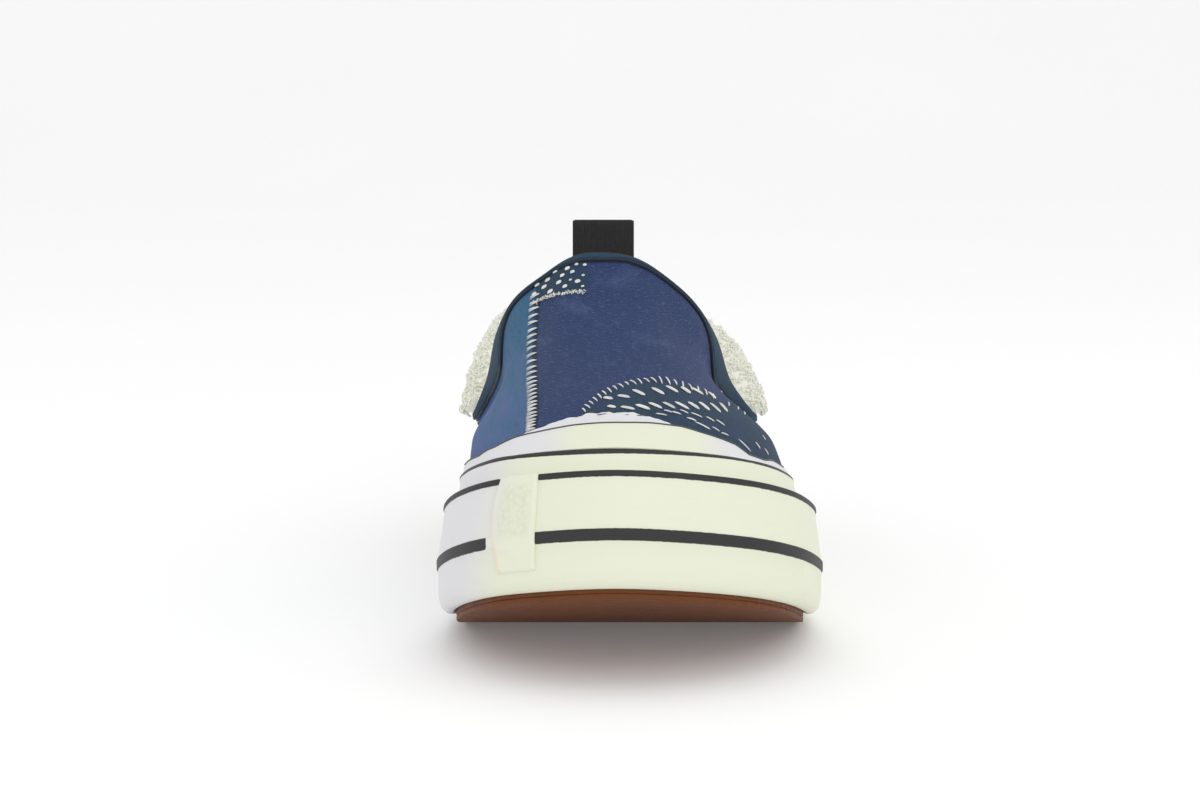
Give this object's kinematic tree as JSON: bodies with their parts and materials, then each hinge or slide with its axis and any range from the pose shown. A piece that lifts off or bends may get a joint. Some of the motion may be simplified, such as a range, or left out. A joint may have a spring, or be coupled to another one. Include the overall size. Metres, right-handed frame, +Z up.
{
  "type": "slip-on shoe",
  "caption": "Low slip-on shoe with a hollow denim upper, fleece-lined collar, rubber toe cap, thick foxed sole and a pull tab at the heel.",
  "frame": {"origin": "middle of the shoe's bounding box on the floor plane", "axes": "+Z up, -Y towards the toe, +X towards the outer side of the foot"},
  "size_m": [0.1102, 0.2928, 0.1077],
  "materials": {
    "gum_rubber": "matte brown gum",
    "white_rubber": "satin creamy white",
    "denim": "woven indigo denim in patches",
    "dark_denim": "dark blue-green denim tape",
    "fleece": "cream sherpa fleece",
    "insole_pile": "short cream pile",
    "webbing": "black ribbed webbing"
  },
  "bodies": {
    "root": {"outsole": "gum_rubber", "foxing": "white_rubber", "upper": "denim", "upper_band": "white_rubber", "toe_cap": "white_rubber", "joint_patch": "white_rubber", "throat_binding": "dark_denim", "fleece_collar": "fleece", "insole": "insole_pile", "pull_tab": "webbing"}
  },
  "joints": []
}
